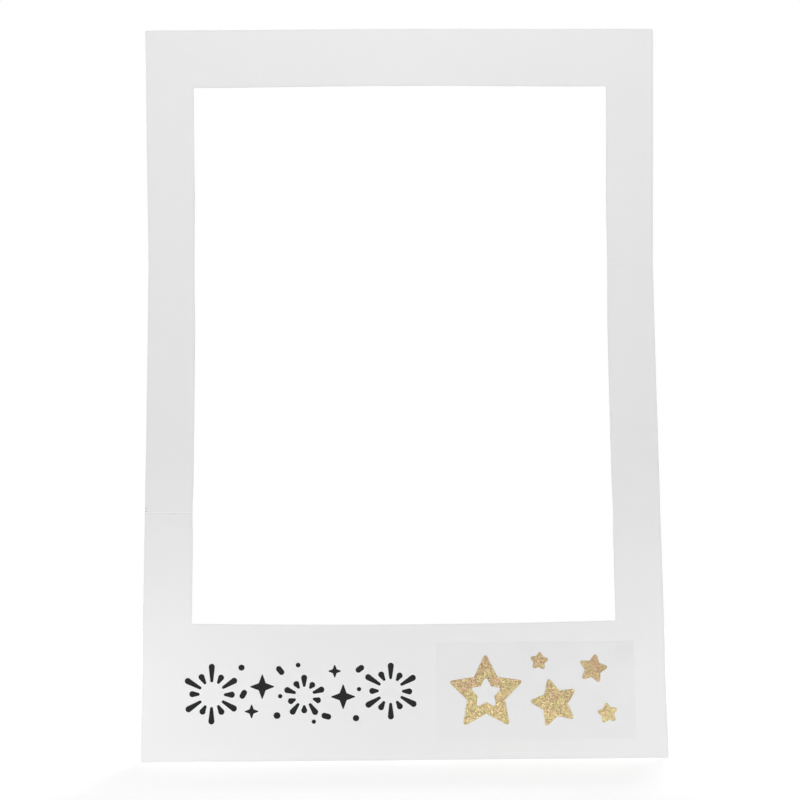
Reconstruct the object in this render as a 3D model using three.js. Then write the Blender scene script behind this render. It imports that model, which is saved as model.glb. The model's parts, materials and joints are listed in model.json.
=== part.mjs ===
// A large hand-held picture frame of die-cut white card, for party photographs.
// One sheet of board folds in three at two creases, printed side inwards. A clear sticker with
// gold glitter shapes lies on its deep bottom strip.
// Millimetres, +Z up, printed front towards -Y. The origin is the middle of the bottom strip's back.

import * as THREE from "three";

// The card sheet, measured flat
const FRAME_WIDTH = 500;
const TOP_PANEL_HEIGHT = 231;
const MIDDLE_PANEL_HEIGHT = 244;
const BOTTOM_PANEL_HEIGHT = 235;
const SIDE_BAR_WIDTH = 46.5;
const TOP_BAR_HEIGHT = 56;
const BOTTOM_STRIP_HEIGHT = 128;
const CARD_THICKNESS = 1.0;
const SHEET_CORNER_RADIUS = 0.8;
const WINDOW_CORNER_RADIUS = 0.6;

// The pressed creases, which bend as living hinges
const FOLD_LINE_PROUD = 0.2;
const BEAD_HEIGHT = 0.3;
const BEAD_HALF_WIDTH = 0.8;
const CHANNEL_DEPTH = 0.45;
const CHANNEL_HALF_WIDTH = 1.0;
const CREASE_FOOT = 1.6;
const HINGE_CLEARANCE = 0.3;

// How far each crease is folded forward from flat, as the frame is held
const LOWER_FOLD_DEG = 1;
const UPPER_FOLD_DEG = 9.5;

// The clear sticker and its layer of glitter
const FILM_WIDTH = 190;
const FILM_HEIGHT = 92;
const FILM_THICKNESS = 0.15;
const FILM_CORNER_RADIUS = 1.5;
const FILM_FROM_SIDE = 30;
const FILM_FROM_BOTTOM = 18;
const GLITTER_THICKNESS = 0.25;

// The glitter stars: each centre is a share of the film's half width and half height
const STAR_POINTS = 5;
const STAR_WAIST = 0.5;
const STAR_TIP_RADIUS = 2.2;
const STAR_OUTLINE_BAND = 9.5;
const LARGE_STAR_RADIUS = 38;
const MEDIUM_STAR_RADIUS = 25;
const TOP_STAR_RADIUS = 16;
const LOW_STAR_RADIUS = 12;
const LEFT_STAR_RADIUS = 11;
const GLITTER_STARS = [
  { name: "large_glitter_star", across: -0.5, up: -0.06, radius: LARGE_STAR_RADIUS, turn: 0, outlined: true },
  { name: "medium_glitter_star", across: 0.19, up: -0.26, radius: MEDIUM_STAR_RADIUS, turn: 14 },
  { name: "small_glitter_star_top", across: 0.58, up: 0.43, radius: TOP_STAR_RADIUS, turn: -12 },
  { name: "small_glitter_star_low", across: 0.72, up: -0.48, radius: LOW_STAR_RADIUS, turn: 8 },
  { name: "small_glitter_star_left", across: 0.04, up: 0.59, radius: LEFT_STAR_RADIUS, turn: -6 },
];

const CURVE_SEGMENTS = 5;

// Where things lie on the sheet
const windowHalfWidth = FRAME_WIDTH / 2 - SIDE_BAR_WIDTH;
const sheetBottomZ = -BOTTOM_STRIP_HEIGHT / 2;
const lowerCreaseZ = sheetBottomZ + BOTTOM_PANEL_HEIGHT;
const foldLineY = -CARD_THICKNESS - FOLD_LINE_PROUD;
const backFromFoldLine = CARD_THICKNESS + FOLD_LINE_PROUD;

// A panel starts where it swings round the bead with the clearance to spare
const beadReach = Math.hypot(BEAD_HALF_WIDTH, FOLD_LINE_PROUD);
const panelStart = Math.sqrt((beadReach + HINGE_CLEARANCE) ** 2 - FOLD_LINE_PROUD ** 2);

const whiteCard = () => new THREE.MeshStandardMaterial({ color: 0xebebea, roughness: 0.62, metalness: 0 });
const scoredCard = () => new THREE.MeshStandardMaterial({ color: 0xe4e4e3, roughness: 0.7, metalness: 0 });
const clearFilm = () =>
  new THREE.MeshStandardMaterial({
    color: 0xe6e8ec,
    roughness: 0.2,
    metalness: 0,
    transparent: true,
    opacity: 0.25,
  });
const goldGlitter = () => new THREE.MeshStandardMaterial({ color: 0xc4a468, roughness: 0.45, metalness: 0.8 });

// An outline through corners that are each rounded by their own radius.
function roundedPath(path, corners) {
  corners.forEach((corner, index) => {
    const before = corners[(index + corners.length - 1) % corners.length];
    const after = corners[(index + 1) % corners.length];
    const point = new THREE.Vector2(corner.x, corner.y);
    const entry = new THREE.Vector2(before.x, before.y).sub(point).setLength(corner.radius).add(point);
    const leave = new THREE.Vector2(after.x, after.y).sub(point).setLength(corner.radius).add(point);
    if (index === 0) path.moveTo(entry.x, entry.y);
    else path.lineTo(entry.x, entry.y);
    if (corner.radius > 0) path.quadraticCurveTo(point.x, point.y, leave.x, leave.y);
  });
  path.closePath();
  return path;
}

// A flat sheet: the outline stands upright, its back at y = 0 and its front towards -Y.
function uprightSheet(outline, thickness) {
  const geometry = new THREE.ExtrudeGeometry(outline, {
    depth: thickness,
    bevelEnabled: false,
    curveSegments: CURVE_SEGMENTS,
  });
  const alongX = new THREE.Vector3(1, 0, 0);
  const upZ = new THREE.Vector3(0, 0, 1);
  const toFront = new THREE.Vector3(0, -1, 0);
  geometry.applyMatrix4(new THREE.Matrix4().makeBasis(alongX, upZ, toFront));
  return geometry;
}

// A profile drawn in the Y-Z plane and drawn out along X, centred on x = 0.
function alongWidth(profile, width) {
  const geometry = new THREE.ExtrudeGeometry(profile, {
    depth: width,
    bevelEnabled: false,
    curveSegments: CURVE_SEGMENTS,
  });
  geometry.translate(0, 0, -width / 2);
  const toBack = new THREE.Vector3(0, 1, 0);
  const upZ = new THREE.Vector3(0, 0, 1);
  const alongX = new THREE.Vector3(1, 0, 0);
  geometry.applyMatrix4(new THREE.Matrix4().makeBasis(toBack, upZ, alongX));
  return geometry;
}

function namedMesh(name, geometry, material) {
  const mesh = new THREE.Mesh(geometry, material);
  mesh.name = name;
  return mesh;
}

// The top and bottom panels are each a cross bar with two legs that end at a crease.
// Heights are measured from the crease; direction is 1 where the bar lies above it, -1 below.
function forkOutline(legEnd, barEdge, sheetEdge, direction) {
  const outer = FRAME_WIDTH / 2;
  const inner = windowHalfWidth;
  return roundedPath(new THREE.Shape(), [
    { x: -outer, y: direction * legEnd, radius: 0 },
    { x: -inner, y: direction * legEnd, radius: 0 },
    { x: -inner, y: direction * barEdge, radius: WINDOW_CORNER_RADIUS },
    { x: inner, y: direction * barEdge, radius: WINDOW_CORNER_RADIUS },
    { x: inner, y: direction * legEnd, radius: 0 },
    { x: outer, y: direction * legEnd, radius: 0 },
    { x: outer, y: direction * sheetEdge, radius: SHEET_CORNER_RADIUS },
    { x: -outer, y: direction * sheetEdge, radius: SHEET_CORNER_RADIUS },
  ]);
}

function makeTopPanel() {
  const barEdge = TOP_PANEL_HEIGHT - TOP_BAR_HEIGHT;
  const outline = forkOutline(panelStart, barEdge, TOP_PANEL_HEIGHT, 1);
  return namedMesh("top_panel", uprightSheet(outline, CARD_THICKNESS), whiteCard());
}

function makeBottomPanel() {
  const barEdge = BOTTOM_PANEL_HEIGHT - BOTTOM_STRIP_HEIGHT;
  const outline = forkOutline(CREASE_FOOT, barEdge, BOTTOM_PANEL_HEIGHT, -1);
  return namedMesh("bottom_panel", uprightSheet(outline, CARD_THICKNESS), whiteCard());
}

function makeSideBar(name) {
  const half = SIDE_BAR_WIDTH / 2;
  const top = MIDDLE_PANEL_HEIGHT - CREASE_FOOT;
  const outline = roundedPath(new THREE.Shape(), [
    { x: -half, y: panelStart, radius: 0 },
    { x: half, y: panelStart, radius: 0 },
    { x: half, y: top, radius: 0 },
    { x: -half, y: top, radius: 0 },
  ]);
  return namedMesh(name, uprightSheet(outline, CARD_THICKNESS), whiteCard());
}

// A crease in section: a foot of full thickness below the fold line, a round bead pressed proud
// of the printed face, and a channel in the back that leaves a thin web to bend.
// Drawn with y = 0 on the fold line and x = 0 on the printed face, x growing to the back.
function makeCrease(name) {
  const beadRadius = (BEAD_HALF_WIDTH ** 2 + BEAD_HEIGHT ** 2) / (2 * BEAD_HEIGHT);
  const beadCentre = beadRadius - BEAD_HEIGHT;
  const beadAngle = Math.atan2(BEAD_HALF_WIDTH, beadCentre);
  const webThickness = CARD_THICKNESS - CHANNEL_DEPTH;
  const channelMiddle = -CHANNEL_HALF_WIDTH / 2;
  const profile = new THREE.Shape();
  profile.moveTo(CARD_THICKNESS, -CREASE_FOOT);
  profile.lineTo(CARD_THICKNESS, -CHANNEL_HALF_WIDTH);
  profile.bezierCurveTo(CARD_THICKNESS, channelMiddle, webThickness, channelMiddle, webThickness, 0);
  profile.absellipse(0, 0, webThickness, BEAD_HALF_WIDTH, 0, Math.PI / 2, false);
  profile.absarc(beadCentre, 0, beadRadius, Math.PI - beadAngle, Math.PI + beadAngle, false);
  profile.lineTo(0, -CREASE_FOOT);
  profile.closePath();
  return namedMesh(name, alongWidth(profile, SIDE_BAR_WIDTH), scoredCard());
}

// One mesh on each side bar, placed in the middle of its bar.
function onBothBars(make, kind) {
  const offset = windowHalfWidth + SIDE_BAR_WIDTH / 2;
  return [
    { side: "left", x: -offset },
    { side: "right", x: offset },
  ].map(({ side, x }) => {
    const mesh = make(kind.replace("SIDE", side));
    mesh.position.x = x;
    return mesh;
  });
}

function makeFilm() {
  const x = FILM_WIDTH / 2;
  const y = FILM_HEIGHT / 2;
  const outline = roundedPath(new THREE.Shape(), [
    { x: -x, y: -y, radius: FILM_CORNER_RADIUS },
    { x: x, y: -y, radius: FILM_CORNER_RADIUS },
    { x: x, y: y, radius: FILM_CORNER_RADIUS },
    { x: -x, y: y, radius: FILM_CORNER_RADIUS },
  ]);
  return namedMesh("sticker_film", uprightSheet(outline, FILM_THICKNESS), clearFilm());
}

// The corners of a star with round tips, whose waist is a set share of its radius.
function starCorners(radius, tipRadius, turnDeg) {
  return Array.from({ length: 2 * STAR_POINTS }, (_, index) => {
    const isTip = index % 2 === 0;
    const angle = Math.PI / 2 + (index * Math.PI) / STAR_POINTS + THREE.MathUtils.degToRad(turnDeg);
    const reach = isTip ? radius : radius * STAR_WAIST;
    return { x: reach * Math.cos(angle), y: reach * Math.sin(angle), radius: isTip ? tipRadius : 0 };
  });
}

// The distance from a star's centre to the straight line of its edges, for a tip radius of 1.
function starEdgeDistance() {
  const step = Math.PI / STAR_POINTS;
  const tip = new THREE.Vector2(1, 0);
  const waist = new THREE.Vector2(Math.cos(step), Math.sin(step)).multiplyScalar(STAR_WAIST);
  return Math.abs(tip.x * waist.y) / tip.distanceTo(waist);
}

function makeGlitterStar({ name, radius, turn, outlined }) {
  const outline = roundedPath(new THREE.Shape(), starCorners(radius, STAR_TIP_RADIUS, turn));
  if (outlined) {
    const innerRadius = radius - STAR_OUTLINE_BAND / starEdgeDistance();
    outline.holes.push(roundedPath(new THREE.Path(), starCorners(innerRadius, STAR_TIP_RADIUS / 2, turn)));
  }
  return namedMesh(name, uprightSheet(outline, GLITTER_THICKNESS), goldGlitter());
}

// The bottom panel stands upright and carries the sticker and the lower creases.
const frame = new THREE.Group();

const bottomPanel = makeBottomPanel();
bottomPanel.position.z = lowerCreaseZ;
frame.add(bottomPanel);

const lowerCreases = new THREE.Group();
lowerCreases.position.set(0, -CARD_THICKNESS, lowerCreaseZ);
lowerCreases.add(...onBothBars(makeCrease, "lower_SIDE_crease"));
frame.add(lowerCreases);

const filmCentreX = FRAME_WIDTH / 2 - FILM_FROM_SIDE - FILM_WIDTH / 2;
const filmCentreZ = sheetBottomZ + FILM_FROM_BOTTOM + FILM_HEIGHT / 2;
const film = makeFilm();
film.position.set(filmCentreX, -CARD_THICKNESS, filmCentreZ);
frame.add(film);
for (const star of GLITTER_STARS) {
  const mesh = makeGlitterStar(star);
  const x = filmCentreX + (star.across * FILM_WIDTH) / 2;
  const z = filmCentreZ + (star.up * FILM_HEIGHT) / 2;
  mesh.position.set(x, -CARD_THICKNESS - FILM_THICKNESS, z);
  frame.add(mesh);
}

// The middle bars lean forward about the lower fold line, and carry the upper creases.
const middle = new THREE.Group();
middle.position.set(0, foldLineY, lowerCreaseZ);
middle.rotation.x = THREE.MathUtils.degToRad(LOWER_FOLD_DEG);
frame.add(middle);
for (const bar of onBothBars(makeSideBar, "SIDE_side_bar")) {
  bar.position.y = backFromFoldLine;
  middle.add(bar);
}
const upperCreases = new THREE.Group();
upperCreases.position.set(0, FOLD_LINE_PROUD, MIDDLE_PANEL_HEIGHT);
upperCreases.add(...onBothBars(makeCrease, "upper_SIDE_crease"));
middle.add(upperCreases);

// The top panel leans further forward about the upper fold line.
const top = new THREE.Group();
top.position.set(0, 0, MIDDLE_PANEL_HEIGHT);
top.rotation.x = THREE.MathUtils.degToRad(UPPER_FOLD_DEG);
middle.add(top);
const topPanel = makeTopPanel();
topPanel.position.y = backFromFoldLine;
top.add(topPanel);

export default frame;
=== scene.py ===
# A hand-held party photograph frame of white card that folds in three, with a clear glitter sticker.
# Metres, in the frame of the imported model: +Z up, printed face towards -Y.

import json
import math
import random

import bmesh
import bpy
from mathutils import Matrix, Vector


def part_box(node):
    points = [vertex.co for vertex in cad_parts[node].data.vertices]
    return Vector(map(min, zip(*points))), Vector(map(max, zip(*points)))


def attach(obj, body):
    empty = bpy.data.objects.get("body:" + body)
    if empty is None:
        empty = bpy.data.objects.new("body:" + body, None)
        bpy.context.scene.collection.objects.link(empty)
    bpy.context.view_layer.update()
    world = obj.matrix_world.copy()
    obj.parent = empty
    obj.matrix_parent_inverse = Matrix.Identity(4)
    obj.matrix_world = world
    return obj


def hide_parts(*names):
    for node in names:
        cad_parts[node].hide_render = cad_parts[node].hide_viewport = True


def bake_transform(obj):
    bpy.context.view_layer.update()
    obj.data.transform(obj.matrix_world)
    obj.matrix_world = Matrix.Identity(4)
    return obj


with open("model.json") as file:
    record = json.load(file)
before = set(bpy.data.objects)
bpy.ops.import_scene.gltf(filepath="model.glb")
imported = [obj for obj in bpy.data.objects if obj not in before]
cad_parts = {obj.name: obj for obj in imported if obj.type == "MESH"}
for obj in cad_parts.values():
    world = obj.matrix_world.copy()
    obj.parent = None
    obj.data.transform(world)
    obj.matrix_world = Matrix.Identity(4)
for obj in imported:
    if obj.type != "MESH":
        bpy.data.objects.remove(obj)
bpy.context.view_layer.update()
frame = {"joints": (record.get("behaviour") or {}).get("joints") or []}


# Camera
# It stands low in front of the frame and looks up at it a little, as in the photograph.
CAMERA_PLACE = (-0.01694, -1.3606, 0.08702)
CAMERA_TURN_DEG = (98.0957, 0.4464, -0.5587)
CAMERA_LENS_MM = 63.0
SENSOR_WIDTH_MM = 36.0
NEAREST_IN_VIEW = 0.01

bpy.ops.object.select_all(action="DESELECT")
camera_turn = [math.radians(angle) for angle in CAMERA_TURN_DEG]
bpy.ops.object.camera_add(location=CAMERA_PLACE, rotation=camera_turn)
camera = bpy.context.object
camera.data.lens = CAMERA_LENS_MM
camera.data.sensor_width = SENSOR_WIDTH_MM
camera.data.clip_start = NEAREST_IN_VIEW
bpy.context.scene.camera = camera


# The white board
# One sheet of smooth white-lined board, about a millimetre thick. It is cut by a steel rule, so
# its rims are square with a soft press mark, and it shows its grey-white layers at the cut.
FACE_WHITE = (0.857, 0.857, 0.857, 1.0)
FACE_SHADE = (0.84, 0.84, 0.84, 1.0)
# The rims are greyed partly by wear and partly by painted shade along the edge.
RIM_WEAR_AND_SHADE_GREY = (0.803, 0.803, 0.803, 1.0)
# Painted shade that darkens the pinched dents.
DENT_SHADE_GREY = (0.62, 0.62, 0.625, 1.0)
FACE_ROUGHNESS = (0.5, 0.62)
FACE_SHINE = {"Specular IOR Level": 0.3}
FACE_RELIEF = {"strength": 0.25, "depth": 0.00004}
BACK_WHITE = (0.83, 0.825, 0.81, 1.0)
BACK_CLOUD = (0.80, 0.795, 0.778, 1.0)
BACK_FLECK = (0.74, 0.73, 0.705, 1.0)
BACK_SHINE = {"Specular IOR Level": 0.2, "Roughness": 0.85}
BACK_RELIEF = {"strength": 0.5, "depth": 0.00008}
CUT_LIGHT = (0.78, 0.775, 0.76, 1.0)
CUT_DARK = (0.66, 0.65, 0.625, 1.0)
CUT_SHINE = {"Specular IOR Level": 0.15, "Roughness": 0.9}
CUT_RELIEF = {"strength": 0.6, "depth": 0.00006}
FIBRES_PER_METRE = 2600.0
FIBRES = {"detail": 3.0, "roughness": 0.6}
FIBRE_STRETCH = (0.35, 1.0, 1.0)
CLOUDS_PER_METRE = 22.0
CLOUDS = {"detail": 4.0}
FLECKS_PER_FIBRE = 0.22
FLECKS = {"detail": 1.0}
FLECK_EDGE = (0.64, 0.74)
SCUFFS_PER_METRE = 400.0
SCUFFS = {"detail": 5.0, "roughness": 0.7}
SCUFF_EDGE = (0.3, 0.7)
SCUFF_STRENGTH = (0.35, 1.0)
LAYERS = {"per_metre": 5200.0, "detail": 2.0}
LAYER_STRETCH = (0.04, 1.0, 0.04)


def feed(tree, socket, source):
    """Joins the socket to another node's output, or sets it to a plain value."""
    if isinstance(source, bpy.types.NodeSocket):
        tree.links.new(source, socket)
    else:
        socket.default_value = source


def add_node(tree, kind, feeds, **settings):
    """A new node with its settings, and with what feeds each of its inputs."""
    node = tree.nodes.new(kind)
    for name, setting in settings.items():
        setattr(node, name, setting)
    for name, source in feeds.items():
        feed(tree, node.inputs[name], source)
    return node


def place_on_piece(tree, stretch=None):
    """Where a point of the piece lies, in metres, scaled along each axis where a stretch is given."""
    place = add_node(tree, "ShaderNodeTexCoord", {}).outputs["Object"]
    if stretch is not None:
        place = add_node(tree, "ShaderNodeMapping", {"Vector": place, "Scale": stretch}).outputs["Vector"]
    return place


def noise(tree, place, per_metre, detail, roughness=0.5):
    """Soft random patches, so many to a metre."""
    feeds = {"Vector": place, "Scale": per_metre, "Detail": detail, "Roughness": roughness}
    return add_node(tree, "ShaderNodeTexNoise", feeds).outputs["Fac"]


def remap(tree, value, taken=(0.0, 1.0), given=(0.0, 1.0)):
    """The value carried from one range of numbers to another, and held within it."""
    ends = dict(zip(("From Min", "From Max", "To Min", "To Max"), (*taken, *given)))
    return add_node(tree, "ShaderNodeMapRange", {"Value": value, **ends}).outputs["Result"]


def calculate(tree, operation, *numbers):
    """One sum, done on numbers and on what other nodes put out."""
    return add_node(tree, "ShaderNodeMath", dict(enumerate(numbers)), operation=operation).outputs["Value"]


def mix(tree, share, low, high, kind="RGBA", way="MIX"):
    """A colour or a number between two, by a share."""
    feeds = {"Factor": share, "A": low, "B": high}
    return add_node(tree, "ShaderNodeMix", feeds, data_type=kind, blend_type=way).outputs["Result"]


def relief(tree, height, strength, depth):
    """The way that the surface faces, with fine relief from a height."""
    feeds = {"Height": height, "Strength": strength, "Distance": depth}
    return add_node(tree, "ShaderNodeBump", feeds).outputs["Normal"]


def read_attribute(tree, name):
    """A value that the piece's mesh carries at each point."""
    return add_node(tree, "ShaderNodeAttribute", {}, attribute_name=name).outputs["Fac"]


def new_material(name):
    """A material and its node tree, which has a Principled shader."""
    material = bpy.data.materials.new(name)
    material.use_nodes = True
    return material, material.node_tree


def feed_shader(tree, feeds):
    """Sets or joins inputs of the Principled shader by their names."""
    for name, source in feeds.items():
        feed(tree, tree.nodes["Principled BSDF"].inputs[name], source)


def new_group(name, inputs, outputs):
    """A shared effect, with its named inputs at their usual values, and its named outputs."""
    group = bpy.data.node_groups.new(name, "ShaderNodeTree")
    for title, value in inputs.items():
        socket = group.interface.new_socket(name=title, in_out="INPUT", socket_type="NodeSocketFloat")
        socket.default_value = value
    for title in outputs:
        group.interface.new_socket(name=title, in_out="OUTPUT", socket_type="NodeSocketFloat")
    return group, group.nodes.new("NodeGroupInput").outputs, group.nodes.new("NodeGroupOutput").inputs


def use_group(tree, group, feeds):
    """Places a shared effect in a material, and gives its outputs."""
    return add_node(tree, "ShaderNodeGroup", feeds, node_tree=group).outputs


def make_board_grain():
    """Fibre relief, slow clouds and sparse flecks, for all the sides of the board and for the ink."""
    scales = {"Fibres": FIBRES_PER_METRE, "Clouds": CLOUDS_PER_METRE}
    group, entry, leave = new_group("board_grain", scales, ("Relief", "Cloud", "Fleck"))
    along = place_on_piece(group, FIBRE_STRETCH)
    flecks_per_metre = calculate(group, "MULTIPLY", entry["Fibres"], FLECKS_PER_FIBRE)
    flecks = noise(group, along, flecks_per_metre, **FLECKS)
    feed(group, leave["Relief"], noise(group, along, entry["Fibres"], **FIBRES))
    feed(group, leave["Cloud"], noise(group, place_on_piece(group), entry["Clouds"], **CLOUDS))
    feed(group, leave["Fleck"], remap(group, flecks, taken=FLECK_EDGE))
    return group


def make_rim_wear_and_shade():
    """A mask of wear and painted shade: strong at the cut edges, where shade is painted, and breaking up
    into fine scuffs further in.
    """
    group, entry, leave = new_group("rim_wear", {"Rim": 0.0, "Scuffs": SCUFFS_PER_METRE}, ("Worn",))
    scuffs = noise(group, place_on_piece(group), entry["Scuffs"], **SCUFFS)
    patchy = remap(group, scuffs, taken=SCUFF_EDGE, given=SCUFF_STRENGTH)
    feed(group, leave["Worn"], calculate(group, "MULTIPLY", entry["Rim"], patchy))
    return group


board_grain = make_board_grain()
rim_wear = make_rim_wear_and_shade()


def make_face_material():
    """The smooth coated face: clean white, with faint clouds and fine fibre, rims greyed by wear and
    painted shade, and painted shade in the pinched dents.
    """
    material, tree = new_material("white_board_face")
    grain = use_group(tree, board_grain, {})
    wear_and_shade = use_group(tree, rim_wear, {"Rim": read_attribute(tree, "rim")})
    colour = mix(tree, grain["Cloud"], FACE_WHITE, FACE_SHADE)
    # The rims are greyed by wear and by painted shade.
    colour = mix(tree, wear_and_shade["Worn"], colour, RIM_WEAR_AND_SHADE_GREY)
    feed_shader(tree, FACE_SHINE | {
        # Painted shade darkens the pinched dents.
        "Base Color": mix(tree, read_attribute(tree, "pinch"), colour, DENT_SHADE_GREY),
        "Roughness": remap(tree, grain["Relief"], given=FACE_ROUGHNESS),
        "Normal": relief(tree, grain["Relief"], **FACE_RELIEF),
    })
    return material


def make_back_material():
    """The uncoated back: a little warmer and rougher, with flecks of fibre."""
    material, tree = new_material("board_back")
    grain = use_group(tree, board_grain, {})
    clouded = mix(tree, grain["Cloud"], BACK_WHITE, BACK_CLOUD)
    feed_shader(tree, BACK_SHINE | {
        "Base Color": mix(tree, grain["Fleck"], clouded, BACK_FLECK),
        "Normal": relief(tree, grain["Relief"], **BACK_RELIEF),
    })
    return material


def make_cut_material():
    """The cut rim: thin layers of raw fibre, seen through the sheet's thickness."""
    material, tree = new_material("cut_board_rim")
    layers = noise(tree, place_on_piece(tree, LAYER_STRETCH), **LAYERS)
    feed_shader(tree, CUT_SHINE | {
        "Base Color": mix(tree, layers, CUT_DARK, CUT_LIGHT),
        "Normal": relief(tree, layers, **CUT_RELIEF),
    })
    return material


face_material = make_face_material()
back_material = make_back_material()
cut_material = make_cut_material()


# The sheet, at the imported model's sizes
# It is a single cut blank with a window. Flat, it is measured up from its bottom edge, along the
# card and through its creases. Its cut rims and corners are a little rounded.
TOP_BAR_HEIGHT = 0.056
TOP_PANEL_HEIGHT = 0.231
MIDDLE_PANEL_HEIGHT = 0.244
CREASE_HALF = 0.0016
RIM_SOFTNESS = 0.00014
RIM_STEPS = 3
RIM_ANGLE = math.radians(60)
SHEET_CORNER = 0.0016
WINDOW_CORNER = 0.0007
CORNER_STEPS = 5
CARD_GRID = 0.008
RIM_WIDTH = 0.0022
RIM_CUTS = (0.0008, 0.0016, 0.0026)
SAME_PLACE = 0.00001
FACES_OUT = 0.5
SMOOTH_ANGLE = math.radians(35)
QUARTER_TURN = math.radians(90)
ACROSS = (1, 0, 0)
UPWARDS = (0, 0, 1)
INSIDE_TWO_EDGES = (1, -1)

sheet_low, sheet_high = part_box("bottom_panel")
front_y = sheet_low.y
card_thickness = sheet_high.y - sheet_low.y
half_width = sheet_high.x
window_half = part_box("right_side_bar")[0].x
bottom_z = sheet_low.z
strip_top = -bottom_z
joint_facts = {joint["name"]: joint for joint in frame["joints"]}
fold_line_y, lower_crease_z = joint_facts["lower_fold"]["pos_m"][1:]
upper_crease_z = lower_crease_z + MIDDLE_PANEL_HEIGHT
sheet_top = upper_crease_z + TOP_PANEL_HEIGHT
bar_edge = sheet_top - TOP_BAR_HEIGHT
lower_lean = math.radians(-joint_facts["lower_fold"]["range_deg"][0])
upper_lean = math.radians(-joint_facts["upper_fold"]["range_deg"][0])


def clamp(value):
    """The value, kept from 0 to 1."""
    return min(1.0, max(0.0, value))


def smooth_step(value):
    """0 up to 0, 1 from 1 on, and a soft rise between them."""
    share = clamp(value)
    return share * share * (3 - 2 * share)


def arch(value, low, high):
    """0 at low and at high, 1 half way, and level at both ends."""
    return math.sin(math.pi * clamp((value - low) / (high - low))) ** 2


def rim_distance(x, z):
    """How far a place on the flat sheet lies from the nearest cut edge."""
    from_outline = min(half_width - abs(x), z - bottom_z, sheet_top - z)
    beside = max(0.0, abs(x) - window_half)
    above = max(0.0, strip_top - z, z - bar_edge)
    return max(0.0, min(from_outline, math.hypot(beside, above)))


def store_at_points(piece, name, values):
    """Gives each point of the mesh a value, which a material can read by its name."""
    stored = piece.data.attributes.new(name, "FLOAT", "POINT")
    stored.data.foreach_set("value", values)


def near_edges(edges, inward):
    """Places for cuts close to each edge, on the card's side of it."""
    return [edge + way * gap for edge, way in zip(edges, inward) for gap in RIM_CUTS]


def steps_between(low, high, step):
    """Even places between two ends, about a step apart."""
    count = max(1, round((high - low) / step))
    return [low + (high - low) * index / count for index in range(1, count)]


def work_on(piece):
    """Only this piece is selected, and it is the active one."""
    bpy.ops.object.select_all(action="DESELECT")
    piece.select_set(True)
    bpy.context.view_layer.objects.active = piece


def open_for_edit(piece):
    work_on(piece)
    bpy.ops.object.mode_set(mode="EDIT")


def close_edit():
    bpy.ops.object.mode_set(mode="OBJECT")


def upright_plane(name, left, right, low, high, depth):
    """A plane that faces the front."""
    bpy.ops.object.select_all(action="DESELECT")
    middle = ((left + right) / 2, depth, (low + high) / 2)
    bpy.ops.mesh.primitive_plane_add(size=1, location=middle, rotation=(QUARTER_TURN, 0, 0))
    piece = bpy.context.object
    piece.name = name
    piece.scale = (right - left, high - low, 1)
    bpy.ops.object.transform_apply(location=True, rotation=True, scale=True)
    return piece


def slice_piece(piece, direction, places):
    """Cuts across the piece at each place along the direction, and keeps both sides."""
    open_for_edit(piece)
    for place in places:
        bpy.ops.mesh.select_all(action="SELECT")
        bpy.ops.mesh.bisect(plane_co=Vector(direction) * place, plane_no=direction)
    close_edit()


def select_in_edit(piece, mode, wanted):
    """In edit mode, selects the vertices, edges or faces that pass the test."""
    bpy.ops.mesh.select_mode(type=mode)
    bpy.ops.mesh.select_all(action="DESELECT")
    shape = bmesh.from_edit_mesh(piece.data)
    parts = {"VERT": shape.verts, "EDGE": shape.edges, "FACE": shape.faces}[mode]
    for part in parts:
        if wanted(part):
            part.select_set(True)
    shape.select_flush_mode()
    bmesh.update_edit_mesh(piece.data)


def round_off(piece, mode, wanted, offset, steps):
    """Bevels the vertices or edges that pass the test."""
    open_for_edit(piece)
    select_in_edit(piece, mode, wanted)
    affect = {"VERT": "VERTICES", "EDGE": "EDGES"}[mode]
    bpy.ops.mesh.bevel(offset=offset, offset_type="OFFSET", segments=steps, affect=affect)
    close_edit()


def round_corners(piece, xs, zs, radius):
    """Rounds the flat sheet's corners that lie at any of the given x and z."""

    def is_corner(vertex):
        at_x = any(abs(vertex.co.x - x) < SAME_PLACE for x in xs)
        return at_x and any(abs(vertex.co.z - z) < SAME_PLACE for z in zs)

    round_off(piece, "VERT", is_corner, radius, CORNER_STEPS)


def soften_rims(piece, softness, seams):
    """Rounds the cut edges a little, but not where the card runs on past a seam height."""

    def on_seam(edge):
        heights = [vertex.co.z for vertex in edge.verts]
        return any(all(abs(height - seam) < SAME_PLACE for height in heights) for seam in seams)

    def is_rim(edge):
        if len(edge.link_faces) != 2 or on_seam(edge):
            return False
        return edge.calc_face_angle() > RIM_ANGLE

    round_off(piece, "EDGE", is_rim, softness, RIM_STEPS)


def thicken(piece, thickness):
    """Gives the sheet its thickness, behind its front face."""
    work_on(piece)
    wall = piece.modifiers.new("thickness", "SOLIDIFY")
    wall.thickness = thickness
    wall.offset = -1
    bpy.ops.object.modifier_apply(modifier=wall.name)


def shade_smooth(piece):
    work_on(piece)
    bpy.ops.object.shade_smooth_by_angle(angle=SMOOTH_ANGLE)


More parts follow.
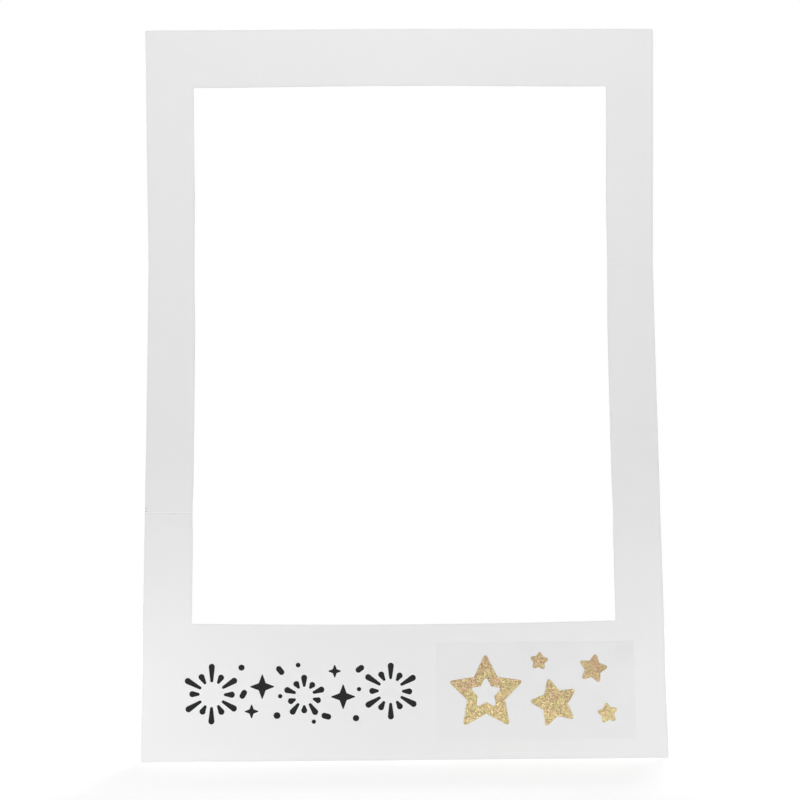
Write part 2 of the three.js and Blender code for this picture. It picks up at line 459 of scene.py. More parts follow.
def cut_panel(name, outer_edge, window_edge, seam):
    """A flat U of card between its outer edge and a crease, with one end of the window in it."""
    low, high = sorted((outer_edge, seam))
    piece = upright_plane(name, -half_width, half_width, low, high, front_y)
    slice_piece(piece, ACROSS, (-window_half, window_half))
    slice_piece(piece, UPWARDS, (window_edge,))

    def in_window(face):
        centre = face.calc_center_median()
        return abs(centre.x) < window_half and (centre.z - window_edge) * (seam - window_edge) > 0

    open_for_edit(piece)
    select_in_edit(piece, "FACE", in_window)
    bpy.ops.mesh.delete(type="FACE")
    close_edit()
    round_corners(piece, (-half_width, half_width), (outer_edge,), SHEET_CORNER)
    round_corners(piece, (-window_half, window_half), (window_edge,), WINDOW_CORNER)
    side_edges = (-half_width, -window_half, window_half, half_width)
    across = steps_between(-half_width, half_width, CARD_GRID)
    slice_piece(piece, ACROSS, across + near_edges(side_edges, 2 * INSIDE_TWO_EDGES))
    upper_and_lower = sorted((outer_edge, window_edge))
    upwards = steps_between(low, high, CARD_GRID)
    slice_piece(piece, UPWARDS, upwards + near_edges(upper_and_lower, INSIDE_TWO_EDGES))
    return piece


def make_solid_card(piece, seams):
    """Gives the flat card its thickness and soft rims, and marks how near a rim each point is."""
    thicken(piece, card_thickness)
    soften_rims(piece, RIM_SOFTNESS, seams)
    gaps = [rim_distance(vertex.co.x, vertex.co.z) for vertex in piece.data.vertices]
    store_at_points(piece, "rim", [smooth_step(1 - gap / RIM_WIDTH) for gap in gaps])


def dress_board(piece, face=face_material, back=back_material):
    """The coated face, the plain back and the cut rims each get their own finish."""
    for material in (face, back, cut_material):
        piece.data.materials.append(material)
    for polygon in piece.data.polygons:
        if polygon.normal.y < -FACES_OUT:
            polygon.material_index = 0
        elif polygon.normal.y > FACES_OUT:
            polygon.material_index = 1
        else:
            polygon.material_index = 2


# How the sheet curls
# Card is never quite flat: the side bars belly back between their creases, the top bar bows
# forward over the window, and the bottom strip curls back a little at its free left corner.
# The window's cut wanders too: its foot sags, and it widens where the creases meet it.
BAR_BELLY = 0.0012
RIGHT_BAR_SHARE = 0.7
TOP_LEG_BOW = 0.0007
TOP_EDGE_BOW = 0.003
WINDOW_EDGE_BOW = 0.0072
STRIP_BOW = 0.0005
CORNER_CURL = 0.0016
CURL_WIDTH = 0.1
CURL_HEIGHT = 0.15
FOOT_RISE = 0.00115
FOOT_SAG = 0.0022
CUT_REACH = 0.02
UPPER_WIDENING = 0.0012
UPPER_REACH = 0.07
LOWER_WIDENING = 0.0007
LOWER_REACH = 0.032


def curl_at(x, z):
    """How far the flat sheet lies behind its true plane at this place."""
    over_window = arch(x, -window_half, window_half)
    if z < lower_crease_z:
        from_left = smooth_step(1 - (x + half_width) / CURL_WIDTH)
        from_bottom = smooth_step(1 - (z - bottom_z) / CURL_HEIGHT)
        return CORNER_CURL * from_left * from_bottom - STRIP_BOW * over_window
    if z < upper_crease_z:
        belly = BAR_BELLY * (1.0 if x < 0 else RIGHT_BAR_SHARE)
        return belly * arch(z, lower_crease_z + CREASE_HALF, upper_crease_z - CREASE_HALF)
    leg = arch(z, upper_crease_z + CREASE_HALF, sheet_top)
    down_the_bar = (sheet_top - z) / TOP_BAR_HEIGHT
    bow = TOP_EDGE_BOW + (WINDOW_EDGE_BOW - TOP_EDGE_BOW) * down_the_bar
    return -TOP_LEG_BOW * leg * (1 - over_window) - bow * over_window


def curl(piece):
    for vertex in piece.data.vertices:
        vertex.co.y += curl_at(vertex.co.x, vertex.co.z)


def wander_at(x, z):
    """How far the uneven cut moves the flat sheet near the window, sideways and upwards."""
    outside = smooth_step(1 - max(0.0, abs(x) - window_half) / CUT_REACH)
    upper = arch(z, upper_crease_z - UPPER_REACH, upper_crease_z + UPPER_REACH)
    lower = arch(z, lower_crease_z - LOWER_REACH, lower_crease_z + LOWER_REACH)
    widening = math.copysign(UPPER_WIDENING * upper + LOWER_WIDENING * lower, x)
    at_foot = smooth_step(1 - abs(z - strip_top) / CUT_REACH)
    sag = FOOT_SAG * max(0.0, 1 - (x / window_half) ** 2)
    return widening * outside, (FOOT_RISE - sag) * at_foot * outside


def shape_cut(piece):
    """Moves the window's cut edges to where the real ones wander."""
    for vertex in piece.data.vertices:
        sideways, upwards = wander_at(vertex.co.x, vertex.co.z)
        vertex.co.x += sideways
        vertex.co.z += upwards


def fold_at(piece, crease_z, lean):
    """Folds what lies above the crease forward, and bends the crease itself smoothly."""
    fold_line = Vector((0, fold_line_y, crease_z))
    for vertex in piece.data.vertices:
        share = smooth_step((vertex.co.z - crease_z + CREASE_HALF) / (2 * CREASE_HALF))
        turn = Matrix.Rotation(lean * share, 3, "X")
        vertex.co = fold_line + turn @ (vertex.co - fold_line)


def fold_up(piece, above_upper):
    """Leans a piece as the opened sheet does at rest. The upper fold comes first."""
    if above_upper:
        fold_at(piece, upper_crease_z, upper_lean)
    fold_at(piece, lower_crease_z, lower_lean)


def finish_card(piece):
    """Dresses a card, and gives it its curl and the window's uneven cut."""
    dress_board(piece)
    curl(piece)
    shape_cut(piece)
    shade_smooth(piece)


# The bottom panel
# The deep strip that carries the printing and the sticker, with the lower ends of both side
# bars. It is cut from the same sheet, and it is the panel that is held.
bottom_seam = lower_crease_z - CREASE_HALF
bottom_card = cut_panel("bottom_card", bottom_z, strip_top, bottom_seam)
make_solid_card(bottom_card, [bottom_seam])
finish_card(bottom_card)
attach(bottom_card, "bottom")
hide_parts("bottom_panel")


# The middle side bars
# Two plain strips of the same sheet, left of and right of the window. They hinge on the bottom
# panel and carry the top panel. The left one was pinched close to its lower crease, and painted shade
# darkens its dents.
NICK_HEIGHTS = (0.0021, 0.005)
NICK_HALF = 0.0007
NICK_LENGTH = 0.0038
NICK_DEPTH = 0.0003
NICK_FADE = 1.6
NICK_STEPS = [share * NICK_HALF for share in (-1, -0.5, 0, 0.5, 1)]


def press_nicks(piece, left):
    """Two small dents at the outer edge, just above the lower crease, where the sheet was pinched; each
    point also gets a share of painted shade.
    """
    pinched = [0.0] * len(piece.data.vertices)
    for vertex in piece.data.vertices:
        if vertex.co.y > front_y + card_thickness / 2:
            continue
        inward = smooth_step(NICK_FADE * (1 - (vertex.co.x - left) / NICK_LENGTH))
        for height in NICK_HEIGHTS:
            middle = lower_crease_z + height
            dent = arch(vertex.co.z, middle - NICK_HALF, middle + NICK_HALF) * inward
            vertex.co.y += NICK_DEPTH * dent
            pinched[vertex.index] += dent
    # How deep each point is dented, kept for the painted shade in the dents.
    store_at_points(piece, "pinch", pinched)


def make_side_card(name, left, right, node, pinched):
    low = lower_crease_z + CREASE_HALF
    high = upper_crease_z - CREASE_HALF
    piece = upright_plane(name, left, right, low, high, front_y)
    across = steps_between(left, right, CARD_GRID)
    slice_piece(piece, ACROSS, across + near_edges((left, right), INSIDE_TWO_EDGES))
    slice_piece(piece, UPWARDS, steps_between(low, high, CARD_GRID))
    if pinched:
        nick_cuts = [lower_crease_z + height + step for height in NICK_HEIGHTS for step in NICK_STEPS]
        slice_piece(piece, UPWARDS, nick_cuts)
        slice_piece(piece, ACROSS, (left + NICK_LENGTH,))
    make_solid_card(piece, [low, high])
    if pinched:
        press_nicks(piece, left)
    finish_card(piece)
    fold_up(piece, above_upper=False)
    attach(piece, "middle")
    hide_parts(node)


make_side_card("left_bar_card", -half_width, -window_half, "left_side_bar", True)
make_side_card("right_bar_card", window_half, half_width, "right_side_bar", False)


# The top panel
# The top bar and the upper ends of both side bars, cut in one. It leans forward over the upper
# creases, because the sheet came folded in its packet.
top_seam = upper_crease_z + CREASE_HALF
top_card = cut_panel("top_card", sheet_top, bar_edge, top_seam)
make_solid_card(top_card, [top_seam])
finish_card(top_card)
fold_up(top_card, above_upper=True)
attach(top_card, "top")
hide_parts("top_panel")


# The creases
# The board is pressed between a rule and a groove, so the printed side has a low bead and the
# back a channel. The coating cracks finely under the bead, and the card bends where it is
# thinnest. Painted shade runs under the bead and in the channel, and painted highlights run in
# pale lines beside the bead. Each crease is pressed a little differently, and its painted lines
# are stronger or fainter.
BEAD_HALF = 0.0008
CHANNEL_HALF = 0.001
CHANNEL_DEPTH = 0.0005
# Painted shade that darkens the back along the channel.
CHANNEL_SHADE_GREY = (0.62, 0.61, 0.59, 1.0)
CREASE_ROWS = 32
CREASE_GRID = 0.003
CRACK_GREY = (0.6, 0.6, 0.595, 1.0)
CRACKS = {"per_metre": 5200.0, "detail": 3.0}
CRACK_STRETCH = (0.08, 1.0, 1.0)
CRACK_EDGE = (0.56, 0.64)
# Painted shade under the bead's lower flank, and painted highlights in pale lines above and below it.
FOLD_SHADE_GREY = (0.77, 0.77, 0.772, 1.0)
PAINTED_HIGHLIGHT_WHITE = (0.98, 0.98, 0.98, 1.0)
SHADE_LINE_HALF = 0.00085
SHADE_LINE_DROP = 0.0006
PAINTED_HIGHLIGHT_LINES = (0.0005, -0.0016)
PAINTED_HIGHLIGHT_HALF = 0.00048
CREASES = {
    "lower_left": {"bead": 0.00012, "mark": 1.0, "bodies": ("bottom", "middle"), "joint": "lower_fold"},
    "lower_right": {"bead": 0.00007, "mark": 0.08, "bodies": ("bottom", "middle"), "joint": "lower_fold"},
    "upper_left": {"bead": 0.00006, "mark": 0.08, "bodies": ("middle", "top"), "joint": "upper_fold"},
    "upper_right": {"bead": 0.00008, "mark": 0.12, "bodies": ("middle", "top"), "joint": "upper_fold"},
}


def copy_material(source, name):
    """A copy of a material, with its node tree and the colour that reaches its shader."""
    material = source.copy()
    material.name = name
    tree = material.node_tree
    return material, tree, tree.nodes["Principled BSDF"].inputs["Base Color"].links[0].from_socket


def make_scored_material():
    """The coated face at a crease: painted highlights in pale lines, a painted shade line under the bead,
    and short fine cracks along the bead.
    """
    material, tree, colour = copy_material(face_material, "scored_board_face")
    cracks = noise(tree, place_on_piece(tree, CRACK_STRETCH), **CRACKS)
    # The fold line marks the painted shade under the bead; the cracks keep to it.
    fold_line = read_attribute(tree, "fold_line")
    on_bead = calculate(tree, "MULTIPLY", remap(tree, cracks, taken=CRACK_EDGE), fold_line)
    colour = mix(tree, read_attribute(tree, "pressed"), colour, PAINTED_HIGHLIGHT_WHITE)
    colour = mix(tree, fold_line, colour, FOLD_SHADE_GREY)
    feed_shader(tree, {"Base Color": mix(tree, on_bead, colour, CRACK_GREY)})
    return material


def make_scored_back_material():
    """The back at a crease, with painted shade darkening the raw board along the channel."""
    material, tree, colour = copy_material(back_material, "scored_board_back")
    feed_shader(tree, {"Base Color": mix(tree, read_attribute(tree, "channel"), colour, CHANNEL_SHADE_GREY)})
    return material


scored_material = make_scored_material()
scored_back_material = make_scored_back_material()


def press_crease(piece, crease_z, bead, mark):
    """Raises the bead, sinks the channel, and marks where painted shade and painted highlights go."""
    marks = {"fold_line": [], "pressed": [], "channel": []}
    middle_y = front_y + card_thickness / 2
    for vertex in piece.data.vertices:
        height = vertex.co.z - crease_z
        from_line = height + SHADE_LINE_DROP
        in_channel = arch(height, -CHANNEL_HALF, CHANNEL_HALF)
        gap = min(abs(height - line) for line in PAINTED_HIGHLIGHT_LINES)
        # Painted shade along the bead's lower flank, and painted highlights in two pale lines.
        marks["fold_line"].append(mark * arch(from_line, -SHADE_LINE_HALF, SHADE_LINE_HALF))
        marks["pressed"].append(mark * smooth_step(1 - gap / PAINTED_HIGHLIGHT_HALF))
        # The channel's share also carries the painted shade on the back.
        marks["channel"].append(in_channel)
        if vertex.co.y < middle_y:
            vertex.co.y -= bead * arch(height, -BEAD_HALF, BEAD_HALF)
        else:
            vertex.co.y -= CHANNEL_DEPTH * in_channel
    for mark_name, values in marks.items():
        store_at_points(piece, mark_name, values)


def make_crease_card(name, bead, mark, bodies, joint):
    left = -half_width if "left" in name else window_half
    right = left + half_width - window_half
    is_upper = joint == "upper_fold"
    crease_z = upper_crease_z if is_upper else lower_crease_z
    low = crease_z - CREASE_HALF
    high = crease_z + CREASE_HALF
    piece = upright_plane(f"{name}_fold", left, right, low, high, front_y)
    across = steps_between(left, right, CREASE_GRID)
    slice_piece(piece, ACROSS, across + near_edges((left, right), INSIDE_TWO_EDGES))
    slice_piece(piece, UPWARDS, steps_between(low, high, 2 * CREASE_HALF / CREASE_ROWS))
    make_solid_card(piece, [low, high])
    dress_board(piece, scored_material, scored_back_material)
    press_crease(piece, crease_z, bead, mark)
    shape_cut(piece)
    fold_up(piece, above_upper=is_upper)
    shade_smooth(piece)
    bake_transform(piece)
    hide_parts(f"{name}_crease")


for name, facts in CREASES.items():
    make_crease_card(name, **facts)


# The black printing
# Matt black ink, printed on the left half of the strip: three bursts of brush strokes, with
# four-pointed sparkles, short dashes and dots of confetti between them.
INK_BLACK = (0.009, 0.009, 0.01, 1.0)
INK_GREY = (0.016, 0.016, 0.017, 1.0)
INK_ROUGHNESS = (0.45, 0.65)
INK_SHINE = {"Specular IOR Level": 0.12}
INK_RELIEF = {"strength": 0.3, "depth": 0.00004}
INK_THICKNESS = 0.00005
INK_SEED = 5
CAP_STEPS = 6
MERGE_DISTANCE = 0.000001
BURSTS = [
    {"x": -0.1835, "z": -0.0015, "rays": 12, "inner": 0.0115, "long": 0.0285, "short": 0.0215},
    {"x": -0.0955, "z": -0.0035, "rays": 10, "inner": 0.0085, "long": 0.0205, "short": 0.016},
    {"x": -0.0135, "z": 0.0005, "rays": 12, "inner": 0.011, "long": 0.0275, "short": 0.0205},
]
RAY_HALF_INNER = 0.0014
RAY_HALF_OUTER = 0.0029
RAY_STEPS = 4
RAY_TURN_SPREAD = (-0.06, 0.06)
RAY_LENGTH_SPREAD = (0.96, 1.03)
DASHES = [
    {"x": -0.1185, "z": 0.0205, "turn_deg": -50, "length": 0.004},
    {"x": -0.1535, "z": -0.0015, "turn_deg": 60, "length": 0.0035},
    {"x": -0.0745, "z": -0.0225, "turn_deg": -15, "length": 0.004},
    {"x": -0.0425, "z": 0.0215, "turn_deg": 35, "length": 0.0035},
]
DASH_HALF = 0.0027
DASH_STEPS = 2
SPARKLES = [
    {"x": -0.1355, "z": 0.0055, "radius": 0.0125},
    {"x": -0.1455, "z": -0.0175, "radius": 0.0075},
    {"x": -0.0585, "z": -0.0045, "radius": 0.0125},
    {"x": -0.0665, "z": 0.0195, "radius": 0.007},
]
SPARKLE_POINTS = 4
SPARKLE_WAIST = 0.38
SPARKLE_TIP_RADIUS = 0.0007
TIP_STEPS = 6
DOTS = [
    {"x": -0.1555, "z": 0.0235, "radius": 0.0028},
    {"x": -0.1215, "z": -0.0215, "radius": 0.0031},
    {"x": -0.1185, "z": -0.0035, "radius": 0.002},
    {"x": -0.1015, "z": 0.0255, "radius": 0.0022},
    {"x": -0.0465, "z": -0.0245, "radius": 0.0029},
    {"x": -0.0435, "z": 0.0025, "radius": 0.002},
    {"x": -0.0865, "z": -0.0275, "radius": 0.002},
]
DOT_STRETCH = 0.1


def make_ink_material():
    """Matt ink that is a little uneven where the card's fibres show through it."""
    material, tree = new_material("matt_black_ink")
    fibres = use_group(tree, board_grain, {})["Relief"]
    feed_shader(tree, INK_SHINE | {
        "Base Color": mix(tree, fibres, INK_BLACK, INK_GREY),
        "Roughness": remap(tree, fibres, given=INK_ROUGHNESS),
        "Normal": relief(tree, fibres, **INK_RELIEF),
    })
    return material


def stroke_stations(length, first_half, last_half, steps):
    """Distances along a brush stroke, with its half width at each, and a round end at both."""
    quarter = [QUARTER_TURN * index / CAP_STEPS for index in range(CAP_STEPS)]
    start = [(-first_half * math.cos(angle), first_half * math.sin(angle)) for angle in quarter]
    shares = [index / steps for index in range(steps + 1)]
    body = [(length * share, first_half + (last_half - first_half) * share) for share in shares]
    end = [(length + last_half * math.sin(angle), last_half * math.cos(angle)) for angle in quarter]
    return start + body + end[1:] + [(length + last_half, 0.0)]


def face_front(piece):
    """Turns a flat piece over if it faces the back."""
    piece.data.update()
    middle_one = piece.data.polygons[len(piece.data.polygons) // 2]
    if middle_one.normal.y > 0:
        piece.data.flip_normals()


def make_stroke(origin, angle, offset, stations):
    """A flat brush stroke that runs at an angle, and starts so far from its origin."""
    along = Vector((math.cos(angle), math.sin(angle)))
    side = Vector((-along.y, along.x))
    bpy.ops.object.select_all(action="DESELECT")
    bpy.ops.mesh.primitive_grid_add(x_subdivisions=len(stations) - 1, y_subdivisions=2, size=1)
    stroke = bpy.context.object
    for vertex in stroke.data.vertices:
        distance, half = stations[round((vertex.co.x + 0.5) * (len(stations) - 1))]
        x, z = origin + along * (offset + distance) + side * (vertex.co.y * 2 * half)
        vertex.co = (x, front_y - INK_THICKNESS, z)
    open_for_edit(stroke)
    bpy.ops.mesh.select_all(action="SELECT")
    bpy.ops.mesh.remove_doubles(threshold=MERGE_DISTANCE)
    close_edit()
    face_front(stroke)
    return stroke


def tip_half_angle(points, waist):
    """Half the angle of a star's sharp tip."""
    return math.atan2(waist * math.sin(math.pi / points), 1 - waist * math.cos(math.pi / points))


def flat_star(centre, radius, turn, points, waist, tip_radius):
    """A flat star that faces the front, with its tips rounded."""
    bpy.ops.object.select_all(action="DESELECT")
    upright = (QUARTER_TURN, -turn, 0)
    bpy.ops.mesh.primitive_circle_add(
        vertices=2 * points, radius=radius, fill_type="NGON", location=centre, rotation=upright
    )
    star = bpy.context.object
    bpy.ops.object.transform_apply(location=True, rotation=True, scale=True)
    open_for_edit(star)
    select_in_edit(star, "VERT", lambda vertex: vertex.index % 2 == 1)
    bpy.ops.transform.resize(value=(waist, waist, waist), center_override=centre)
    close_edit()
    offset = tip_radius / math.tan(tip_half_angle(points, waist))
    round_off(star, "VERT", lambda vertex: vertex.index % 2 == 0, offset, TIP_STEPS)
    face_front(star)
    return star


def make_burst(chance, x, z, rays, inner, long, short):
    """Tapered brush strokes round a centre, long and short in turn, none quite alike."""
    strokes = []
    for index in range(rays):
        turn = index + chance.uniform(*RAY_TURN_SPREAD)
        angle = QUARTER_TURN + 2 * math.pi * turn / rays
        outer = (long if index % 2 == 0 else short) * chance.uniform(*RAY_LENGTH_SPREAD)
        length = outer - inner - RAY_HALF_INNER - RAY_HALF_OUTER
        stations = stroke_stations(length, RAY_HALF_INNER, RAY_HALF_OUTER, RAY_STEPS)
        strokes.append(make_stroke(Vector((x, z)), angle, inner + RAY_HALF_INNER, stations))
    return strokes


def make_dash(x, z, turn_deg, length):
    stations = stroke_stations(length, DASH_HALF, DASH_HALF, DASH_STEPS)
    return make_stroke(Vector((x, z)), math.radians(turn_deg), -length / 2, stations)


def make_sparkle(x, z, radius):
    centre = Vector((x, front_y - INK_THICKNESS, z))
    return flat_star(centre, radius, 0.0, SPARKLE_POINTS, SPARKLE_WAIST, SPARKLE_TIP_RADIUS)


def make_dot(x, z, radius):
    stations = stroke_stations(radius * DOT_STRETCH, radius, radius, 1)
    return make_stroke(Vector((x, z)), 0.0, 0.0, stations)


ink_chance = random.Random(INK_SEED)
ink_shapes = [stroke for burst in BURSTS for stroke in make_burst(ink_chance, **burst)]
ink_shapes += [make_dash(**dash) for dash in DASHES]
ink_shapes += [make_sparkle(**sparkle) for sparkle in SPARKLES]
ink_shapes += [make_dot(**dot) for dot in DOTS]
work_on(ink_shapes[0])
for shape in ink_shapes:
    shape.select_set(True)
bpy.ops.object.join()
printing = bpy.context.object
printing.name = "black_printing"
thicken(printing, INK_THICKNESS)
curl(printing)
shade_smooth(printing)
printing.data.materials.append(make_ink_material())
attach(printing, "bottom")


# The clear sticker
# A rectangle of thin clear film, stuck on the right half of the strip. It is faintly cooler
# than the card and has a soft shine, and a painted sheen makes it more opaque and darker towards its upper
# right corner.
FILM_TINT = (0.66, 0.68, 0.73, 1.0)
FILM_SHINE = {"Specular IOR Level": 0.6}
FILM_ROUGHNESS = (0.18, 0.3)
FILM_RELIEF = {"strength": 0.3, "depth": 0.0004}
WAVES = {"per_metre": 90.0, "detail": 2.0}
SHEEN_PATCHES = {"per_metre": 30.0, "detail": 2.0}
# The opacity of the painted sheen, from lower left to upper right.
SHEEN_OPACITY = (0.002, 0.072)
SHEEN_SLANT = 0.25
FILM_GAP = 0.00002
FILM_CORNER = 0.0015
FILM_SOFTNESS = 0.00004
film_low, film_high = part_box("sticker_film")


def calculate_vector(tree, operation, *vectors):
    """One sum on vectors. It gives the node's outputs, because some sums end in a number."""
    return add_node(tree, "ShaderNodeVectorMath", dict(enumerate(vectors)), operation=operation).outputs


def make_film_material():
    """Clear film with soft waves, and with a painted sheen that grows more opaque up and to the right."""
    material, tree = new_material("clear_sticker_film")
    place = place_on_piece(tree)
    waves = noise(tree, place, **WAVES)
    rise = calculate_vector(tree, "DOT_PRODUCT", place, (SHEEN_SLANT, 0.0, 1.0))["Value"]
    corners = [SHEEN_SLANT * corner.x + corner.z for corner in (film_low, film_high)]
    # A painted sheen: the film grows more opaque towards its upper right.
    clouded = calculate(tree, "MULTIPLY", remap(tree, rise, taken=corners), noise(tree, place, **SHEEN_PATCHES))
    feed_shader(tree, FILM_SHINE | {
        "Base Color": FILM_TINT,
        "Alpha": remap(tree, clouded, given=SHEEN_OPACITY),
        "Roughness": remap(tree, waves, given=FILM_ROUGHNESS),
        "Normal": relief(tree, waves, **FILM_RELIEF),
    })
    return material


film_sides = (film_low.x, film_high.x)
film_ends = (film_low.z, film_high.z)
film = upright_plane("sticker_sheet", *film_sides, *film_ends, film_low.y - FILM_GAP)
round_corners(film, film_sides, film_ends, FILM_CORNER)
slice_piece(film, ACROSS, steps_between(*film_sides, CARD_GRID))
thicken(film, film_high.y - film_low.y)
soften_rims(film, FILM_SOFTNESS, [])
curl(film)
shade_smooth(film)
film.data.materials.append(make_film_material())
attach(film, "bottom")
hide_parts("sticker_film")


# The glitter stars
# Gold glitter in a clear binder, printed on the film: a bed of small flakes that lie at all
# angles. The colours run from rose through pale gold to olive, and painted light from the floor makes them
# paler towards the foot.
STAR_POINTS = 5
STAR_WAIST = 0.5
STAR_TIP_RADIUS = 0.0022
STAR_BAND = 0.0095
GLITTER_RIM = 0.00007
FLAKE_SIZE = 0.0009
FLAKE_SHIFT = (0.00024, 0.0001, 0.00024)
FLAKE_SEED = 11
FACES_FRONT = 0.99
STARS = {
    "large_glitter_star": {"radius": 0.038, "turn_deg": 0, "outlined": True},
    "medium_glitter_star": {"radius": 0.025, "turn_deg": 14, "outlined": False},
    "small_glitter_star_top": {"radius": 0.016, "turn_deg": -12, "outlined": False},
    "small_glitter_star_low": {"radius": 0.012, "turn_deg": 8, "outlined": False},
    "small_glitter_star_left": {"radius": 0.011, "turn_deg": -6, "outlined": False},
}
FLAKE_HUES = [
    (0.2, (0.58, 0.37, 0.24, 1.0)),
    (0.5, (0.557, 0.422, 0.225, 1.0)),
    (0.8, (0.535, 0.48, 0.208, 1.0)),
]
FLAKE_GREYS = [(0.0, 0.35), (0.25, 0.63), (0.75, 0.79), (1.0, 0.97)]
FLAKE_SHADES = [(place, (grey, grey, grey, 1.0)) for place, grey in FLAKE_GREYS]
HUE_PATCHES = {"per_metre": 85.0, "detail": 1.0}
HUE_PATCH_EDGE = (0.35, 0.65)
# Painted light from the floor: lower facets are paler and yellower.
PAINTED_LIGHT_IN_HUE = 0.5
FLAKE_IN_HUE = 0.55
PAINTED_LIGHT_DOWN_THE_FILM = (0.83, 1.22)
FLAKE_LEAN = 0.55
FLAKE_ROUGHNESS = (0.3, 0.52)
FLAKE_METAL = {"Metallic": 0.7}
star_tip_angle = tip_half_angle(STAR_POINTS, STAR_WAIST)


def make_ramp(tree, share, colours):
    """A colour that runs through the given ones as the share grows."""
    ramp = add_node(tree, "ShaderNodeValToRGB", {"Fac": share})
    stops = ramp.color_ramp.elements
    for spare in range(len(colours) - 2):
        stops.new(0.5)
    for stop, (place, colour) in zip(stops, colours):
        stop.position = place
        stop.color = colour
    return ramp.outputs["Color"]


def make_glitter_material():
    """Each facet has its own shade and hue and leans its own way. Painted light makes lower ones paler."""
    material, tree = new_material("gold_glitter_flakes")
    flake = add_node(tree, "ShaderNodeAttribute", {}, attribute_name="flake").outputs["Color"]
    numbers = add_node(tree, "ShaderNodeSeparateColor", {"Color": flake}).outputs
    place = place_on_piece(tree)
    height = add_node(tree, "ShaderNodeSeparateXYZ", {"Vector": place}).outputs["Z"]
    lower = remap(tree, height, taken=(film_high.z, film_low.z))
    drift = remap(tree, noise(tree, place, **HUE_PATCHES), taken=HUE_PATCH_EDGE)
    # Lower facets drift to paler hues, as painted light from the floor.
    slow_hue = mix(tree, PAINTED_LIGHT_IN_HUE, drift, lower, kind="FLOAT")
    hue = mix(tree, FLAKE_IN_HUE, slow_hue, numbers["Blue"], kind="FLOAT")
    gold = make_ramp(tree, hue, FLAKE_HUES)
    shade = make_ramp(tree, numbers["Red"], FLAKE_SHADES)
    tinted = mix(tree, 1.0, gold, shade, way="MULTIPLY")
    # Painted light from the floor brightens the lower facets.
    painted_floor_light = remap(tree, lower, given=PAINTED_LIGHT_DOWN_THE_FILM)
    shaded = add_node(tree, "ShaderNodeHueSaturation", {"Color": tinted, "Value": painted_floor_light})
    lean = calculate_vector(tree, "MULTIPLY_ADD", flake, [FLAKE_LEAN] * 3, [-FLAKE_LEAN / 2] * 3)
    outward = add_node(tree, "ShaderNodeNewGeometry", {}).outputs["Normal"]
    turned = calculate_vector(tree, "ADD", outward, lean["Vector"])
    feed_shader(tree, FLAKE_METAL | {
        "Base Color": shaded.outputs["Color"],
        "Roughness": remap(tree, numbers["Green"], given=FLAKE_ROUGHNESS),
        "Normal": calculate_vector(tree, "NORMALIZE", turned["Vector"])["Vector"],
    })
    return material


glitter_material = make_glitter_material()


def star_centre(low, high, radius, turn):
    """The star's own centre, from its box and its rounded tips."""
    round_centre = radius - STAR_TIP_RADIUS / math.sin(star_tip_angle)
    tips = [QUARTER_TURN + turn + 2 * math.pi * index / STAR_POINTS for index in range(STAR_POINTS)]
    xs = [round_centre * math.cos(angle) for angle in tips]
    zs = [round_centre * math.sin(angle) for angle in tips]
    x = (low.x + high.x) / 2 - (min(xs) + max(xs)) / 2
    z = (low.z + high.z) / 2 - (min(zs) + max(zs)) / 2
    return Vector((x, low.y, z))


def make_star_plate(centre, radius, turn, thickness):
    """A closed star-shaped plate with round tips, its front towards the viewer."""
    plate = flat_star(centre, radius, turn, STAR_POINTS, STAR_WAIST, STAR_TIP_RADIUS)
    thicken(plate, thickness)
    return plate


def cut_out(piece, cutter):
    """Cuts the cutter's shape out of the piece, and takes the cutter away."""
    work_on(piece)
    cut = piece.modifiers.new("opening", "BOOLEAN")
    cut.operation = "DIFFERENCE"
    cut.solver = "EXACT"
    cut.object = cutter
    bpy.ops.object.modifier_apply(modifier=cut.name)
    work_on(cutter)
    bpy.ops.object.delete()


def break_into_flakes(piece):
    """Turns the smooth front into small facets that all lie a little differently."""
    for axis, direction in ((0, ACROSS), (2, UPWARDS)):
        places = [vertex.co[axis] for vertex in piece.data.vertices]
        slice_piece(piece, direction, steps_between(min(places), max(places), FLAKE_SIZE))
    chance = random.Random(FLAKE_SEED)
    open_for_edit(piece)
    shape = bmesh.from_edit_mesh(piece.data)
    for vertex in shape.verts:
        if all(face.normal.y < -FACES_FRONT for face in vertex.link_faces):
            for axis in (1, 0, 2):
                vertex.co[axis] += chance.uniform(-FLAKE_SHIFT[axis], FLAKE_SHIFT[axis])
    bmesh.update_edit_mesh(piece.data)
    bpy.ops.mesh.select_all(action="SELECT")
    bpy.ops.mesh.quads_convert_to_tris(quad_method="SHORTEST_DIAGONAL", ngon_method="BEAUTY")
    close_edit()
    flake = piece.data.attributes.new("flake", "FLOAT_COLOR", "FACE")
    for polygon in piece.data.polygons:
        numbers = [chance.random() for channel in range(3)]
        flake.data[polygon.index].color = (*numbers, 1.0)


def make_star(node, radius, turn_deg, outlined):
    turn = math.radians(turn_deg)
    low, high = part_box(node)
    centre = star_centre(low, high, radius, turn)
    thickness = high.y - low.y
    piece = make_star_plate(centre, radius, turn, thickness)
    piece.name = node.replace("glitter", "gold")
    if outlined:
        inner = radius - STAR_BAND / math.sin(star_tip_angle)
        in_front = centre - Vector((0, thickness, 0))
        cut_out(piece, make_star_plate(in_front, inner, turn, 3 * thickness))
    soften_rims(piece, GLITTER_RIM, [])
    break_into_flakes(piece)
    curl(piece)
    piece.data.materials.append(glitter_material)
    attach(piece, "bottom")
    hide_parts(node)


for node, facts in STARS.items():
    make_star(node, **facts)


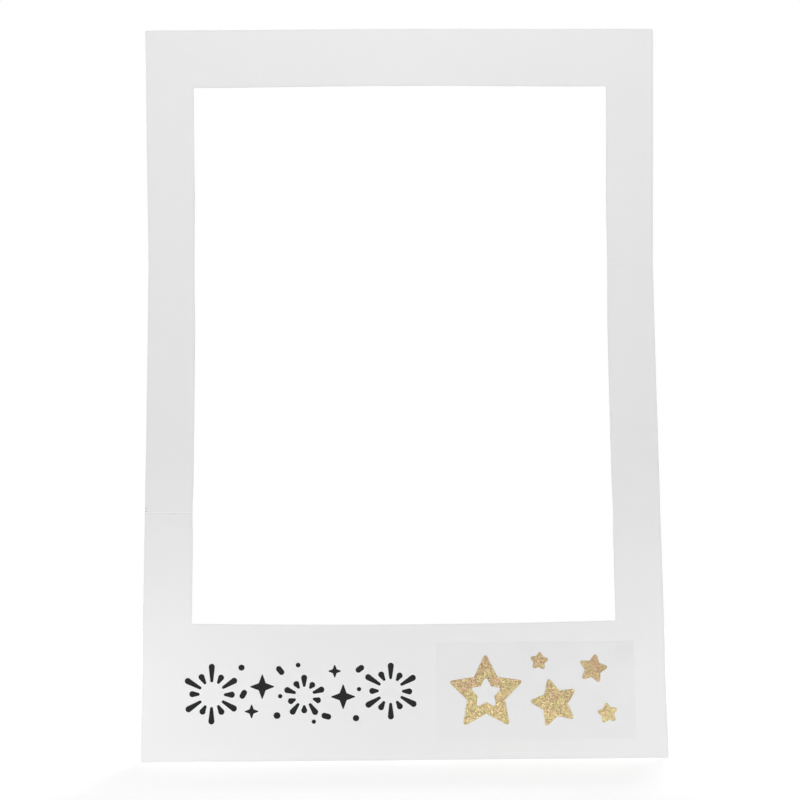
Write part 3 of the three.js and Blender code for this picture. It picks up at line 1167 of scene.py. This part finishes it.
# Floor, backdrop and lights
# A pale floor under the bottom edge, and white all round. Soft light comes from in front, from
# behind and from above, with low strips and patches of it before the foot of the frame.
FLOOR_SIZE = 12.0
FLOOR_DROP = 0.0004
FLOOR_FINISH = {"Base Color": (0.92, 0.92, 0.92, 1.0), "Roughness": 0.9}
GLOW_REACH = (0.5, 2.2)
FLOOR_GLOW = (0.38, 0.8)
PURE_WHITE = (1.0, 1.0, 1.0, 1.0)
WORLD_LIGHT = (0.3, 1.0)
SOFT_LIGHTS = {
    "back_light": {"place": (0.5, 2.3, 1.0), "aim": (0, 0, 0.25), "size": (1.4, 1.4), "power": 34},
    "front_softbox": {"place": (-0.1, -2.4, 0.5), "aim": (0, 0, 0.25), "size": (1.4, 1.4), "power": 28.0},
    "high_softbox": {"place": (0.05, -0.5, 0.95), "aim": (0, 0, 0.6), "size": (0.9, 0.35), "power": 0.55},
    "foot_softbox": {
        "place": (0, -0.34, 0.015),
        "aim": (0, 0, -0.05),
        "size": (0.8, 0.05),
        "power": 0.053,
        "spread_deg": 90,
    },
    "left_foot_softbox": {
        "place": (-0.4, -0.28, 0.04),
        "aim": (-0.24, 0, -0.05),
        "size": (0.12, 0.12),
        "power": 0.034,
        "spread_deg": 90,
    },
    "right_foot_softbox": {
        "place": (0.4, -0.28, 0.04),
        "aim": (0.24, 0, -0.05),
        "size": (0.12, 0.12),
        "power": 0.018,
        "spread_deg": 90,
    },
}


def seen_directly(tree):
    """1 for rays from the camera, off gloss and through glass, and 0 for diffuse light."""
    path = add_node(tree, "ShaderNodeLightPath", {}).outputs
    either = calculate(tree, "MAXIMUM", path["Is Camera Ray"], path["Is Glossy Ray"])
    return calculate(tree, "MAXIMUM", either, path["Is Transmission Ray"])


def make_floor_material():
    """Pale and matt, and it glows to the camera alone, less under the frame than far away."""
    material, tree = new_material("pale_floor")
    from_foot = calculate_vector(tree, "LENGTH", place_on_piece(tree))["Value"]
    glow = remap(tree, from_foot, taken=GLOW_REACH, given=FLOOR_GLOW)
    feed_shader(tree, FLOOR_FINISH | {
        "Emission Color": PURE_WHITE,
        "Emission Strength": calculate(tree, "MULTIPLY", seen_directly(tree), glow),
    })
    return material


def add_soft_light(name, place, aim, size, power, spread_deg=180):
    bpy.ops.object.select_all(action="DESELECT")
    bpy.ops.object.light_add(type="AREA", location=place)
    lamp = bpy.context.object
    lamp.name = name
    lamp.data.shape = "RECTANGLE"
    lamp.data.size = size[0]
    lamp.data.size_y = size[1]
    lamp.data.energy = power
    lamp.data.spread = math.radians(spread_deg)
    lamp.rotation_euler = (Vector(aim) - Vector(place)).to_track_quat("-Z", "Y").to_euler()


bpy.ops.object.select_all(action="DESELECT")
bpy.ops.mesh.primitive_plane_add(size=FLOOR_SIZE, location=(0, 0, bottom_z - FLOOR_DROP))
floor = bpy.context.object
floor.name = "floor"
floor.data.materials.append(make_floor_material())

world = bpy.data.worlds.new("white_studio")
bpy.context.scene.world = world
world.use_nodes = True
background = world.node_tree.nodes["Background"]
background.inputs["Color"].default_value = PURE_WHITE
world_strength = remap(world.node_tree, seen_directly(world.node_tree), given=WORLD_LIGHT)
feed(world.node_tree, background.inputs["Strength"], world_strength)

for name, facts in SOFT_LIGHTS.items():
    add_soft_light(name, **facts)

bpy.context.scene.view_settings.view_transform = "Standard"
